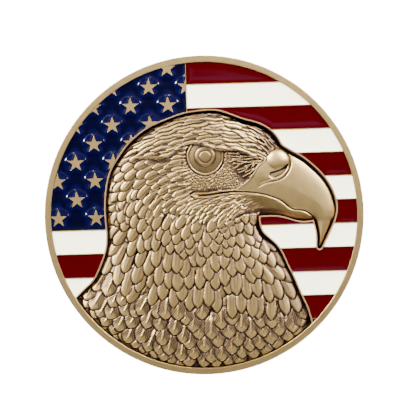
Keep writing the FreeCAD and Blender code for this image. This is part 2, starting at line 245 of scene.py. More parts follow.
# tips of the neck's leaf-shaped feathers
NECK_TIPS = [
    (-13.15, 3.6), (-13.35, 1.75), (-13.2, 0.85), (-12.95, -1.0), (-13.4, -2.95),
    (-13.55, -5.3), (-14.4, -7.9), (-12.75, -3.8), (-12.85, -6.7), (-11.75, 1.1),
    (-11.8, -0.85), (-11.5, -1.95), (-11.5, -7.7), (-10.05, 2.5), (-10.65, 0.05),
    (-10.15, -1.55), (-10.6, -3.35), (-10.7, -5.4), (-9.55, -6.95), (-9.0, -0.15),
    (-9.2, -2.2), (-7.8, -1.15), (-8.45, -3.2), (-7.1, -1.9), (-9.2, -5.05),
    (-8.1, -4.75), (-7.1, -4.85), (-6.6, -3.3), (-5.75, -1.95), (-5.75, -4.15),
    (-4.6, -2.6), (-3.9, -1.8), (-4.25, -3.95), (-3.05, -3.4), (-2.35, -4.65),
    (-1.75, -2.45), (-1.25, -3.7), (-5.0, -5.3), (-3.85, -5.3), (-3.05, -6.1),
    (-2.15, -5.65), (-0.5, -5.7), (-1.65, -7.2), (-0.75, -7.25), (-7.0, -7.1),
    (-5.45, -7.85), (-4.15, -8.0), (-3.1, -8.6), (-8.3, -8.2), (0.4, -2.4),
    (1.2, -3.4), (0.2, -4.4), (1.25, -5.3), (2.0, -4.1), (3.0, -3.45), (2.9, -4.75),
    (1.85, -1.9), (2.25, -2.55), (3.0, -1.6), (4.0, -3.1), (3.8, -4.6), (5.0, -2.7),
    (5.2, -4.7), (5.8, -1.45), (6.5, -3.05), (6.7, -4.45), (7.85, -4.0), (7.5, -4.85),
    (8.7, -3.6), (8.8, -5.7), (7.2, -6.35), (5.9, -6.05), (4.4, -6.5), (3.2, -6.05),
    (1.95, -5.7), (0.15, -6.05), (1.5, -8.0), (2.55, -7.6), (8.3, -7.0), (9.65, -7.55),
    (11.0, -7.6), (9.85, -5.4), (6.4, -7.6), (3.7, -8.7), (5.1, -8.4), (7.45, -9.05),
    (0.4, -9.2), (-4.1, -10.5), (-2.4, -10.25), (-1.0, -10.3), (1.3, -10.5),
    (-3.5, -11.9), (-4.7, -12.8), (-2.4, -13.3), (-1.3, -12.9), (0.2, -12.8),
    (1.4, -13.65), (3.5, -14.5), (3.1, -11.2), (4.2, -11.3), (6.55, -9.7),
    (5.8, -11.88), (7.25, -11.65), (4.8, -13.85), (6.3, -14.5), (7.1, -14.7),
    (9.2, -9.9), (8.85, -12.45), (8.9, -14.92), (10.4, -12.0), (12.2, -12.07),
    (12.0, -9.7), (11.15, -14.24), (12.8, -13.93), (-12.5, -9.5), (-11.5, -11.0),
    (-10.0, -9.35), (-9.6, -10.45), (-11.0, -11.85), (-6.8, -9.65), (-7.9, -12.35),
    (-6.25, -11.7), (-5.2, -10.15), (4.3, -1.2), (3.6, -0.7), (6.9, -1.7), (10.9, -9.3),
    (2.6, -10.0),
]
# tips of the chest's ribbed feathers
CHEST_TIPS = [
    (-15.7, -10.1), (-14.1, -10.85), (-17.0, -11.3), (-16.1, -12.7), (-17.0, -12.4),
    (-13.4, -12.45), (-15.2, -13.75), (-13.8, -14.05), (-11.8, -13.65), (-9.6, -13.6),
    (-7.2, -14.15), (-14.6, -15.0), (-11.0, -15.4), (-12.6, -15.75), (-8.7, -15.55),
    (-6.9, -15.9), (-4.8, -16.6), (-13.4, -16.2), (-12.0, -17.2), (-9.6, -17.45),
    (-10.4, -18.2), (-11.4, -17.5), (-8.6, -18.75), (-6.5, -17.95), (-7.0, -19.2),
    (-5.6, -19.3), (-7.6, -19.75), (-9.3, -18.9), (-4.1, -14.55), (-0.75, -14.55),
    (1.9, -15.95), (-2.1, -16.25), (4.7, -16.5), (6.1, -17.35), (3.0, -17.3),
    (0.5, -17.35), (-1.2, -17.3), (-3.7, -17.7), (1.4, -18.45), (4.2, -18.4),
    (5.9, -19.15), (7.25, -18.9), (7.8, -17.2), (-0.55, -19.15), (-2.8, -18.6),
    (-2.05, -20.0), (-3.9, -20.2), (0.35, -20.6), (1.9, -20.4), (3.3, -19.5),
    (4.7, -20.1), (8.85, -18.25), (10.1, -17.1), (11.95, -16.7), (13.3, -15.9),
    (9.7, -19.0), (11.3, -18.0), (6.4, -20.2), (8.2, -19.9), (-5.4, -20.6),
    (-6.4, -20.2), (2.8, -21.2), (1.1, -21.3), (-0.8, -21.2), (-2.8, -21.1),
    (-12.9, -16.9), (12.4, -17.2), (-15.9, -13.9), (-4.4, -21.2), (4.4, -21.2),
    (9.0, -16.0), (-3.1, -15.2), (3.4, -15.4), (-5.9, -14.4), (7.4, -15.9), (13.7, -14.9),
    (-10.4, -13.9), (-12.2, -12.2),
]


def relief_base(x, y, edge, foot):
    """The smooth relief's height above the sunk ground, from the distances to the outline and rim."""
    rise = 1 - np.exp(-edge / 2.2)
    rise = rise * (0.84 + 0.16 * (1 - np.exp(-foot / 1.5)))

    def bump(cx, cy, rx, ry):
        return np.exp(-(((x - cx) / rx) ** 2) - ((y - cy) / ry) ** 2)

    shape = 0.26 + 0.66 * rise
    shape += 0.07 * bump(-2, 11.8, 7, 2.0)
    shape += 0.05 * bump(14.5, 3, 2.6, 4.5)
    shape -= 0.12 * bump(3.5, 6.6, 3.5, 2.0)
    return shape * 1.2


def gap_width(x, y):
    """How far the relief stands off the outline: wide over the head, narrow down the neck."""
    over = smoothstep((y - 3.0) / 8.0)
    front = smoothstep((x - 1.0) / 6.0)
    beak = smoothstep((x - 10.5) / 2.0) * smoothstep((y + 0.2) / 2.0)
    throat = smoothstep((x - 6.0) / 2.0) * np.exp(np.clip(y + 1.0, -20, 0) / 6.0)
    throat = throat * smoothstep((-y - 0.6) / 0.8)
    return 0.09 + over * (0.15 + 0.16 * front) + 0.20 * beak * (1 - over) + 0.26 * throat


# grid steps: of the relief's heights, of the distances they are worked out from, and of its mesh
FINE = 0.04
COARSE = 0.12
MESH = 0.09
SEED = 7
# for each kind of feather: how long its tip is in widths, how wide a band of painted shadow, partly oxide in
# the crevice, runs beside it, and how dark that band is at the tip and further back. A leaf's band depends on
# its width.
TIP = {"spade": 0.60, "strand": 1.2, "crown": 1.2, "leaf": 0.92}
SHADOW_BAND_WIDTH = {"strand": (0.07, 0), "crown": (0.09, 0), "leaf": (0.08, 0.08), "spade": (0.20, 0)}
SHADOW_BAND_DARK = {"strand": (0.45, 0), "crown": (0.2, 0), "leaf": (0.50, -0.42), "spade": (0.08, 0)}
SHADOW_BAND_BACK = {"strand": 0.75, "crown": 0.35, "leaf": 0.75, "spade": 0.75}


def build(step=FINE, seed=SEED):
    """Works out the relief's heights and shades feather by feather, apart from the head's features."""
    rng = np.random.default_rng(seed)
    xs = np.arange(-18.9, 19.0, step)
    ys = np.arange(-21.6, 15.0, step)
    x, y = np.meshgrid(xs, ys)
    runs = [smooth_line(r) for r in RUNS]
    outline = np.concatenate(runs)
    closed = np.concatenate([outline, [(17, -32), (-30, -32)]])
    cx = np.arange(-19.2, 19.4, COARSE)
    cy = np.arange(-21.9, 15.3, COARSE)
    gx, gy = np.meshgrid(cx, cy)
    dist, _ = line_distance(gx, gy, outline)
    dist = np.where(inside(gx, gy, closed), dist, -dist)
    edge = upsample(dist, cx, cy, xs, ys)
    foot = R_IN - np.hypot(x, y)
    gap = gap_width(x, y)
    inner = np.clip(edge - OUTLINE_W / 2 - gap, 0, None)
    base = relief_base(x, y, inner, np.clip(foot, 0, None))

    rough = rng.normal(0, 1, x.shape)
    # the brow, and the zone of the beak with the cere and the corner of the mouth
    brow_line = smooth_line([
        (-11.2, 7.5), (-9.6, 7.95), (-7.0, 7.93), (-5.4, 7.98), (-4.3, 8.45), (-3.2, 9.25),
        (-2.2, 9.8), (-1.2, 9.92), (0.9, 9.33), (2.0, 8.96), (4.6, 8.75), (6.0, 8.35), (7.6, 7.45)])
    above = y - np.interp(x, brow_line[:, 0], brow_line[:, 1])
    cere_line = smooth_line([
        (-1.45, 3.0), (0.3, 3.02), (2.2, 3.25), (4.2, 3.45), (5.4, 4.05), (6.4, 4.85), (7.1, 5.7),
        (7.5, 6.45), (8.5, 7.3), (9.4, 8.35), (10.1, 8.95), (10.9, 9.3)])
    under_mouth = smooth_line([
        (7.7, 0.05), (6.6, 0.25), (5.6, 0.9), (4.6, 1.6), (3.4, 2.2), (1.5, 2.35), (-0.5, 2.2), (-1.3, 2.45)])
    beak_zone = np.concatenate([
        cere_line, smooth_line(BEAK_TOP), smooth_line(BEAK_BACK), smooth_line(JAW), under_mouth])
    beak = inside(gx, gy, beak_zone)
    beak_dist, _ = line_distance(gx, gy, np.concatenate([beak_zone, beak_zone[:1]]))
    beak_signed = upsample(np.where(beak, beak_dist, -beak_dist), cx, cy, xs, ys)

    height = base - 0.05
    shade = np.full(x.shape, 0.35)

    def lay(tx, ty, dx, dy, length, width, lift, kind):
        """One feather, laid over what is there."""
        reach = math.hypot(length, width)
        i0 = max(0, int((tx - reach - xs[0]) / step))
        i1 = min(len(xs), int((tx + reach - xs[0]) / step) + 1)
        j0 = max(0, int((ty - reach - ys[0]) / step))
        j1 = min(len(ys), int((ty + reach - ys[0]) / step) + 1)
        if i0 >= i1 or j0 >= j1:
            return
        here = (slice(j0, j1), slice(i0, i1))
        px, py = x[here] - tx, y[here] - ty
        u = -(px * dx + py * dy)
        v = px * dy - py * dx
        fine = kind in ("strand", "crown")
        if fine:
            v = v - 0.12 * width * np.sin(2.6 * u + 3 * tx)
        tip = width * TIP[kind]
        rest = np.clip((u - tip) / (length - tip), 0, 1)

        def half_width(grow):
            t = np.clip((u + grow) / (tip + grow), 1e-4, 1)
            if kind == "spade":
                round_tip = np.sin(np.pi / 2 * t) ** 0.68
            elif fine:
                round_tip = t**0.55
            else:
                round_tip = (1 - (1 - t) ** 2) ** 0.62
            return (width / 2 + grow) * round_tip * (1 - 0.25 * rest)

        ok = (u > 0) & (u < length)
        half = half_width(0)
        q = np.abs(v) / half
        ok &= q < 1
        q = np.clip(q, 0, 1)
        z = base[here] + lift * (1 - u / length)
        z = z - 0.10 * smoothstep((u / length - 0.75) / 0.25)
        dark = np.full(u.shape, 0.85)
        if kind == "spade":
            z = z + 0.07 * (1 - q**2)
            quill = 0.05 + 0.07 * np.clip((u / width - 0.3) / 0.6, 0, 1)
            spike = bell(v / quill) * smoothstep((u / width - 0.24) / 0.2)
            z = z + 0.11 * spike
            upper = smoothstep((u / width + 0.30 * q - 0.46) / 0.25)
            barbs = np.sin(2 * np.pi * (np.abs(v) * 0.84 + u * 0.54) / 0.27)
            z = z + (0.004 + 0.012 * upper) * barbs * (1 - spike)
            dark = 0.98 - 0.43 * upper + (0.06 + 0.20 * upper) * barbs * (1 - spike)
            dark = dark + (1.05 - dark) * spike
        elif fine:
            z = z + 0.12 * np.sqrt(1 - q**2)
            dark = 1.0 - 0.30 * q**2
            if kind == "crown":
                z = z + 0.03 * np.sqrt(1 - q**2)
                dark = dark + 0.12 - 0.22 * q**2
        else:
            large = smoothstep((width - 0.95) / 0.35)
            z = z + (0.055 + 0.025 * large) * (1 - q**3.2) * (1 - 0.45 * rest)
            keel = smoothstep((u / tip - 0.3) / 0.6)
            z = z + 0.02 * keel * bell(v / 0.1)
            groove = bell((np.abs(v) - 0.13 - 0.04 * u) / 0.06)
            dark = dark + 0.07 * (1 - large) - (0.36 - 0.18 * large) * keel * groove
            dark = dark - 0.10 * smoothstep((u / tip - 0.7) / 0.8)
        broad = smoothstep((width - 0.8) / 0.4)
        line = SHADOW_BAND_WIDTH[kind][0] + SHADOW_BAND_WIDTH[kind][1] * broad
        # painted shadow: the feathers below are darkened in a band beside this one's edge, partly oxide in
        # the crevice; the band also sinks a little
        beside = (u > -line) & (u < 0.85 * length) & (np.abs(v) < half_width(line)) & ~ok
        shadow_band_dark = SHADOW_BAND_DARK[kind][0] + SHADOW_BAND_DARK[kind][1] * broad
        fade = smoothstep(np.clip(u, 0, None) / (0.6 * length))
        shade[here][beside] *= (shadow_band_dark + (SHADOW_BAND_BACK[kind] - shadow_band_dark) * fade)[beside]
        height[here][beside] -= 0.02
        height[here][ok] = z[ok]
        shade[here][ok] = dark[ok]

    def veer(dx, dy, amount):
        """A direction turned a little by chance."""
        turn = rng.normal(0, amount)
        return dx - turn * dy, dy + turn * dx

    def scatter(zone, along, across, tries):
        """Places spread over a zone, spaced wide along the feathers and close across them."""
        found = []
        picks = rng.random((tries, 2))
        x0, x1, y0, y1 = zone["box"]
        for a, b in picks:
            px, py = x0 + a * (x1 - x0), y0 + b * (y1 - y0)
            if not zone["test"](px, py):
                continue
            dx, dy = flow(px, py)
            sa, sb = along(px, py), across(px, py)
            clear = True
            for qx, qy, _, _ in found[-400:]:
                ex, ey = px - qx, py - qy
                if abs(ex) > 2.5 or abs(ey) > 2.5:
                    continue
                if ((ex * dx + ey * dy) / sa) ** 2 + ((ex * dy - ey * dx) / sb) ** 2 < 1:
                    clear = False
                    break
            if clear:
                found.append((px, py, dx, dy))
        return found

    def brow_y(px):
        return float(np.interp(px, brow_line[:, 0], brow_line[:, 1]))

    plan = []

    # crown strands
    def crown(px, py):
        return py > brow_y(px) + 0.25 and (px > -9.5 or py > 8.3) and px < 10.4
    crown_zone = {"box": (-12.5, 10.4, 7.6, 14.6), "test": crown}
    for px, py, dx, dy in scatter(crown_zone, lambda a, b: 2.3, lambda a, b: 0.37 - 0.09 * (a > 5), 9000):
        dx, dy = veer(dx, dy, 0.05)
        size = 0.85 + 0.3 * rng.random()
        thin = np.clip((px - 4.0) / 3.5, 0, 1)
        plan.append((px, py, dx, dy, (4.6 - 1.7 * thin) * size, (0.56 - 0.26 * thin) * size, 0.17, "crown"))

    # cheek and nape feathers
    def cheek(px, py):
        if py > brow_y(px) - 0.1 or px < -13.5 or px > 5.5:
            return False
        if px > -1.6 and py > 2.3:
            return False
        if py < -0.3 - 0.5 * max(0, -px - 7) and px < -3:
            return py > 1.2
        return py > -1.4
    cheek_zone = {"box": (-13.5, 5.5, -1.4, 8.6), "test": cheek}

    def c_size(px, py):
        g = np.clip((-px - 2.0) / 8.0, 0, 1)
        return 0.46 + 0.54 * g
    for px, py, dx, dy in scatter(cheek_zone, lambda a, b: 1.0 + 0.7 * c_size(a, b),
                                  lambda a, b: 0.86 * c_size(a, b), 9000):
        w = c_size(px, py) * (1.0 + 0.2 * rng.random())
        dx, dy = veer(dx, dy, 0.04)
        plan.append((px, py, dx, dy, 2.4 + 0.8 * w, w, 0.09 + 0.12 * w, "leaf" if w > 0.72 else "strand"))

    # fine hairs under the mouth that run back from the beak
    def jaw(px, py):
        return 0.25 < py < 2.5 - 0.08 * abs(px - 3) and px > 0.8 and py > 0.9 - 0.25 * (px - 3)
    jaw_zone = {"box": (0.8, 6.6, 0.2, 2.5), "test": jaw}
    for px, py, dx, dy in scatter(jaw_zone, lambda a, b: 1.9, lambda a, b: 0.34, 2500):
        plan.append((px, py, *veer(dx, dy, 0.03), 3.4, 0.46, 0.06, "strand"))

    # neck and chest
    for tx, ty in CHEST_TIPS:
        dx, dy = flow(tx, ty + 1.2)
        dx, dy = veer(dx, dy, 0.05)
        width = 2.05 * (0.94 + 0.14 * rng.random())
        plan.append((tx, ty, dx, dy, 3.3, width, 0.24 + 0.04 * rng.random(), "spade"))
    for tx, ty in NECK_TIPS:
        dx, dy = flow(tx, ty + 0.8)
        dx, dy = veer(dx, dy, 0.04)
        grow = np.clip((-ty - 1.0) / 8.0, 0, 1)
        back = np.clip((-tx - 6) / 6, 0, 1)
        width = (1.16 + 0.36 * grow + 0.2 * back * (1 - grow)) * (0.95 + 0.1 * rng.random())
        length = 2.5 + 1.3 * grow + 0.4 * back
        plan.append((tx, ty, dx, dy, length, width, 0.25 + 0.06 * grow, "leaf"))

    # the last ones first, so that each lies over the next one down
    axis, rank = flow_order()

    def order(feather):
        cell = axis[1] - axis[0]
        return -between(rank, (feather[0] - axis[0]) / cell, (feather[1] - axis[0]) / cell)


    # low feathers under all the others, so that no bare ground shows
    fill = []
    for box, along, across, tries, width, lift, kind in (
            ((-18.5, 15.0, -21.5, 2.5), 1.6, 0.9, 2500, 1.2, 0.08, "leaf"),
            ((-13.8, 10.0, 2.0, 14.6), 1.2, 0.5, 3500, 0.7, 0.06, "strand")):
        zone = {"box": box, "test": lambda a, b: math.hypot(a, b) < R_IN}
        for px, py, dx, dy in scatter(zone, lambda a, b: along, lambda a, b: across, tries):
            fill.append((px, py, dx, dy, 2.6, width, lift, kind))
    for feather in sorted(fill, key=order) + sorted(plan, key=order):
        lay(*feather)

    return dict(lay=lay, scatter=scatter, veer=veer, shade=shade, rough=rough, gap=gap, inner=inner,
                closed=closed, outline=outline, xs=xs, ys=ys, x=x, y=y, edge=edge, foot=foot, base=base,
                height=height, above=above, beak=beak_signed, step=step)


def window_of(field, line, margin):
    """The part of a height field that lies within a margin of a line."""
    i = np.searchsorted(field["xs"], [line[:, 0].min() - margin, line[:, 0].max() + margin])
    j = np.searchsorted(field["ys"], [line[:, 1].min() - margin, line[:, 1].max() + margin])
    return slice(j[0], j[1]), slice(i[0], i[1])


def bead(field, points, half_width, amount, ends=0.12, patina_and_shade=0.0):
    """Raises a rounded bead along a smooth line, or cuts a groove if the amount is negative. The last amount
    darkens the tone along it, dark oxide in the groove with painted shade.
    """
    line = smooth_line(points, 0.15)
    window = window_of(field, line, 3 * half_width)
    d, s = line_distance(field["x"][window], field["y"][window], line)
    fade = smoothstep(s / ends) * smoothstep((1 - s) / ends) if ends else 1.0
    field["height"][window] += amount * fade * bell(d / half_width)
    field["shade"][window] *= 1 - patina_and_shade * fade * bell(d / half_width)


def within(field, polygon, margin=0.6):
    """The window round a closed shape, and the distance inside it there, negative outside."""
    window = window_of(field, polygon, margin)
    x, y = field["x"][window], field["y"][window]
    d, _ = line_distance(x, y, np.concatenate([polygon, polygon[:1]]))
    return window, np.where(inside(x, y, polygon), d, -d)


# ---------------- the head's own features ----------------
EYE = (0.37, 8.1)
MOUTH = [
    (-1.1, 2.76), (0.3, 2.74), (2.2, 2.98), (4.4, 3.1), (6.4, 3.0), (8.3, 2.66),
    (9.8, 2.16), (11.1, 1.42), (12.3, 0.5), (13.5, 0.3), (14.4, -0.05), (15.2, -0.75),
    (15.6, -1.5),
]


def add_head(field):
    """Adds the eye, the brow, the beak, the cere and the mouth to the relief."""
    x, y, base, height, shade = (field[k] for k in ("x", "y", "base", "height", "shade"))
    above, beak = field["above"], field["beak"]
    pebble = blur(field["rough"], 0.06 / field["step"]) - blur(field["rough"], 0.16 / field["step"])
    pebble = np.clip(pebble / pebble.std(), -1.6, 1.6)

    # pebbled skin round the eye
    lores = (above < 0.0) & (beak < 0.0) & (x > -2.9) & (x < 8.6) & (y > 2.9)
    blend = smoothstep((x + 2.9) / 1.2)
    dusk = smoothstep((x - 3.2) / 2.2) * smoothstep((0.75 * x + y - 8.0) / 1.6)
    skin = base - 0.02 - 0.06 * dusk + 0.03 * pebble * (1 - dusk)
    height[lores] = np.where(x < -1.7, np.maximum(skin, height - 0.16 * blend), skin)[lores]
    shade[lores] = ((0.70 + 0.13 * pebble) * (1 - 0.72 * dusk))[lores]

    # the eye
    r = np.hypot(x - EYE[0], y - EYE[1])
    ball = base + 0.02 + 0.2 * (1 - (r / 2.4) ** 2)
    ball = ball + 0.02 * smoothstep((0.86 - r) / 0.14) + 0.06 * smoothstep((1.42 - r) / 0.14)
    ball = ball - 0.05 * bell((r - 0.84) / 0.09) - 0.03 * bell((r - 1.46) / 0.08)
    ball = ball + 0.13 * bell((r - 2.46) / 0.1) - 0.08 * bell((r - 2.68) / 0.09)
    eye = (r < 2.75) & (above < -0.02)
    height[eye] = ball[eye]
    # lighter on the outer ring and the pupil, dark in the grooves
    iris = 0.74 + 0.16 * bell((r - 2.46) / 0.12) + 0.08 * smoothstep((1.36 - r) / 0.12)
    for place, wide, depth in ((0.83, 0.10, 0.34), (1.46, 0.10, 0.34), (2.27, 0.09, 0.30), (2.69, 0.10, 0.5)):
        iris = iris - depth * bell((r - place) / wide)
    shade[eye] = iris[eye]

    # bristles in front of the eye
    def bristly(px, py):
        if py < 9.1 - 0.75 * px or math.hypot(px - EYE[0], py - EYE[1]) < 3.3:
            return False
        col, row = int((px - field["xs"][0]) / field["step"]), int((py - field["ys"][0]) / field["step"])
        return above[row, col] < -0.25 and beak[row, col] < -0.1
    zone = {"box": (3.6, 8.4, 4.7, 8.5), "test": bristly}
    for px, py, dx, dy in field["scatter"](zone, lambda a, b: 1.1, lambda a, b: 0.34, 900):
        field["lay"](px, py, *field["veer"](dx, dy, 0.12), 1.5, 0.17, 0.07, "strand")

    # brow ledge, with painted shadow under it
    strength = smoothstep((x + 11.6) / 3.5) * smoothstep((7.8 - x) / 2.0)
    t = np.clip((above - 0.28) / 0.3, -1, 1)
    ledge = base + 0.05 + 0.26 * np.sqrt(1 - t * t)
    on = (np.abs(above - 0.28) < 0.3) & (x > -11.5) & (x < 7.8) & (strength > 0.2)
    height[on] = np.maximum(height, ledge * strength + (1 - strength) * height)[on]
    # painted shadow: the tone darkened in a band just below the brow ledge
    under = bell(np.clip(-above, 0, None) / 0.32) * (above < 0.0) * strength
    shade *= 1 - 0.75 * under * (beak < 0)
    # painted shade: the crown's strands darker towards the front, by the cere
    shade *= 1 - 0.38 * smoothstep((x - 6.0) / 3.5) * (above > 0) * (beak < 0)

    # the beak's smooth dome, its lower half set back under the upper
    beaked = beak > 0
    inner = field["inner"]
    flat = 0.26 + 1.2 * 0.66 * (0.45 + 0.35 * (1 - np.exp(-inner / 2.2)))
    dome = 0.08 + flat + 0.16 * (1 - np.exp(-inner / 0.6)) + 0.06 * (1 - np.exp(-inner / 2.5))
    mouth = smooth_line(MOUTH)
    window = window_of(field, mouth, 3.2)
    d, _ = line_distance(x[window], y[window], mouth)
    lip = np.interp(x[window], mouth[:, 0], mouth[:, 1])
    below = (y[window] < lip) & (x[window] < 15.3)
    dome[window] -= np.where(below, 0.10 + 0.17 * np.clip(d, 0, 2.5), 0.0)
    blend_in = smoothstep((beak + 0.02) / 0.12)
    strands = np.where((x < 7.5) & (y < 2.6), smoothstep((x - 3.0) / 4.0), 1.0)
    target = dome * strands + (1 - strands) * np.maximum(height, dome - 0.1)
    thin = np.maximum(target, height - 0.17 * np.clip((x - 2.5) / 4.5, 0, 1))
    lower_jaw = (x < 8.2) & (y < 2.6)
    # the lower beak's tone is darker further below the mouth line
    darker_below_mouth = np.zeros(x.shape)
    darker_below_mouth[window] = np.where(below, smoothstep(d / 0.25) * (0.08 + 0.12 * smoothstep((d - 0.3) / 1.2)), 0)
    height[beaked] = np.where(lower_jaw, thin, target)[beaked]
    shade[beaked] = (np.where(lower_jaw, np.maximum(shade, 0.9), 1.0) - darker_below_mouth)[beaked]

    # the soft cere over the nostril
    cere = smooth_line([
        (7.4, 3.5), (8.2, 4.05), (9.4, 4.4), (10.6, 4.6), (11.5, 5.3), (12.12, 6.5), (12.1, 7.6),
        (11.5, 8.55), (10.55, 8.95), (9.5, 8.45), (8.6, 7.45), (7.6, 6.55), (7.0, 5.3), (7.4, 3.5)])
    window, d = within(field, cere)
    cx, cy = x[window], y[window]
    front = smoothstep((cx + 0.55 * cy - 9.4) / 2.0)
    swell = 0.16 * (1 - np.exp(-np.clip(d, 0, None) / 0.3)) * front
    knob = np.clip(1 - ((cx - 10.75) / 1.75) ** 2 - ((cy - 7.6) / 1.6) ** 2, 0, 1)
    arm = bell((cx * 0.72 - cy * 0.69 - 3.2) / 0.95) * smoothstep((cx - 7.6) / 2.5)
    swell = swell + 0.30 * knob**0.8 + 0.08 * arm
    height[window] += np.where(d > 0, swell, 0)
    bead(field, [(7.4, 3.45), (8.2, 4.02), (9.4, 4.37), (10.6, 4.58), (11.6, 5.25), (12.28, 6.5),
                 (12.28, 7.6), (11.8, 8.5)], 0.09, -0.12)
    lid = smooth_line([(12.0, 6.95), (11.2, 6.3), (10.4, 5.95), (9.7, 5.75), (9.35, 5.65)])
    lip = smooth_line([(9.35, 5.65), (9.28, 5.25), (9.5, 4.98), (10.2, 4.93), (11.0, 5.3), (11.65, 5.95),
                       (12.0, 6.95)])
    nostril = np.concatenate([lid, lip[1:-1]])
    window, d = within(field, nostril)
    below_lid, _ = line_distance(x[window], y[window], lid)
    cut = smoothstep(np.clip(d, 0, None) / 0.12)
    height[window] -= cut * (0.20 + 0.22 * np.exp(-below_lid / 0.3))
    shadow = 0.75 - 0.6 * bell(below_lid / 0.3)
    shade[window] = np.where(d > 0, shade[window] * shadow, shade[window])
    bead(field, [(9.15, 5.3), (9.4, 4.8), (10.2, 4.72), (11.1, 5.08), (11.85, 5.85), (12.12, 6.9),
                 (12.05, 7.4)], 0.13, 0.09)

    # the corner of the mouth, a smooth folded lip
    fold = [(2.2, 3.24), (0.3, 3.0), (-0.8, 3.0), (-1.35, 2.95), (-1.55, 2.77), (-1.35, 2.58), (-0.8, 2.5),
            (0.3, 2.5), (2.2, 2.76), (4.4, 2.9)]
    window, d = within(field, smooth_line([(4.4, 3.43)] + fold))
    over = smoothstep((d + 0.2) / 0.1) * smoothstep((4.4 - x[window]) / 1.4)
    height[window] = height[window] * (1 - over) + (base[window] + 0.14) * over
    shade[window] = shade[window] * (1 - over) + 0.95 * over
    bead(field, [(4.2, 3.43)] + fold, 0.13, 0.12, 0.04)
    bead(field, [(2.2, 3.5), (0.3, 3.25), (-0.8, 3.25), (-1.5, 3.2), (-1.85, 2.77), (-1.5, 2.33),
                 (-0.8, 2.24), (0.3, 2.24), (2.2, 2.48), (3.6, 2.6)], 0.09, -0.10, 0.08, 0.65)

    # the slit of the mouth, the ridge where the skin meets the beak, and the folds below; their grooves
    # darken the tone with dark oxide and painted shade
    bead(field, MOUTH, 0.11, -0.24, 0.03, 0.75)
    bead(field, [(2.2, 3.24), (4.2, 3.42), (5.4, 4.02), (6.4, 4.82), (7.05, 5.65), (7.5, 6.4), (8.4, 7.2),
                 (9.1, 8.0)], 0.13, 0.15, 0.04)
    bead(field, [(3.0, 2.82), (4.4, 2.9), (6.2, 2.84), (7.8, 2.6)], 0.12, 0.10)
    bead(field, [(4.3, -0.75), (4.9, -0.3), (5.7, 0.02), (6.6, 0.12), (7.6, 0.08)], 0.13, -0.2, 0.12, 0.6)


def finish_relief(field):
    """Sinks the ground round the relief, and works out its tone: dark oxide in the hollows and low places,
    with painted shade near the outline and along the lower beak's edge.
    """
    x, y, height, shade = (field[k] for k in ("x", "y", "height", "shade"))
    edge, foot, step = field["edge"], field["foot"], field["step"]
    height *= 0.9
    height += TRENCH_Z
    shore = edge - OUTLINE_W / 2 - field["gap"]
    ragged = 0.08 * np.clip(blur(field["rough"], 0.2 / step) / 0.15, -1, 1) * (field["beak"] < -0.3)
    sunk = (shore + ragged < 0) | (foot < 0.05)
    slope = np.clip(np.minimum(shore + ragged, foot - 0.05) / 0.1, 0, 1)
    height[:] = np.where(sunk, TRENCH_Z, TRENCH_Z + (height - TRENCH_Z) * slope)
    height += 0.004 * field["rough"]
    cave = np.clip((blur(height, 0.13 / step) - height) / 0.055, 0, 1)
    wide = np.clip((blur(height, 0.45 / step) - height) / 0.22, 0, 1)
    low = smoothstep((height - TRENCH_Z - 0.1) / 0.5)
    neck = smoothstep((-field["beak"] - 0.2) / 0.5)
    throat = smoothstep((x - 4.0) / 3.0) * smoothstep((-y - 0.5) / 1.5)
    # darker near the outline: dark oxide where the relief runs low into the gap, and painted shade down the
    # throat
    fringe = 1 - (0.42 + 0.2 * throat) * neck * np.exp(-field["inner"] / (0.6 + 0.5 * throat))
    # painted shade: the lower beak darker along its edge by the jaw
    jaw = (field["beak"] > 0) & (y < 1.6) & (x < 15.4)
    fringe = fringe - np.where(jaw, 0.25 * bell(field["inner"] / 0.7), 0)
    tone = shade * (1 - 0.8 * cave) * (1 - 0.4 * wide) * (0.1 + 0.9 * low) * fringe
    return np.clip(tone, 0, 1)


# ---------------- materials ----------------
def settle(node, **values):
    """Sets a node's own sockets. An underscore in a name stands for a space."""
    for name, value in values.items():
        node.inputs[name.replace("_", " ")].default_value = value


def new_material(name, **values):
    """A material, its node tree, and its shader with these values."""
    material = bpy.data.materials.new(name)
    material.use_nodes = True
    tree = material.node_tree
    shader = tree.nodes["Principled BSDF"]
    settle(shader, **values)
    return material, tree, shader


def noise_over(tree, scale, **values):
    """A noise fixed to the piece itself."""
    coord = tree.nodes.new("ShaderNodeTexCoord")
    noise = tree.nodes.new("ShaderNodeTexNoise")
    settle(noise, Scale=scale, **values)
    tree.links.new(coord.outputs["Object"], noise.inputs["Vector"])
    return noise.outputs["Fac"]


def from_mesh(tree, name):
    """The values that the mesh carries under this name."""
    node = tree.nodes.new("ShaderNodeAttribute")
    node.attribute_name = name
    return node.outputs["Fac"]


def colour_mix(tree, factor):
    """A blend of two colours."""
    mix = tree.nodes.new("ShaderNodeMix")
    mix.data_type = "RGBA"
    tree.links.new(factor, mix.inputs["Factor"])
    return mix


def bright_line_material(name):
    """The same metal where it is rubbed bright, on the thin line round the eagle."""
    return new_material(name, Base_Color=(0.27, 0.160, 0.080, 1), Metallic=0.5, Roughness=0.4)[0]


# tone to colour, from near black to bright metal; the tone holds dark oxide and painted shade
PATINA_AND_SHADE = [
    (0.0, (0.004, 0.002, 0.004)), (0.22, (0.032, 0.019, 0.014)), (0.55, (0.12, 0.079, 0.045)),
    (0.85, (0.27, 0.185, 0.068)), (1.0, (0.38, 0.266, 0.108)),
]
PLAIN_TONE = 0.88
MOTTLE = 0.16


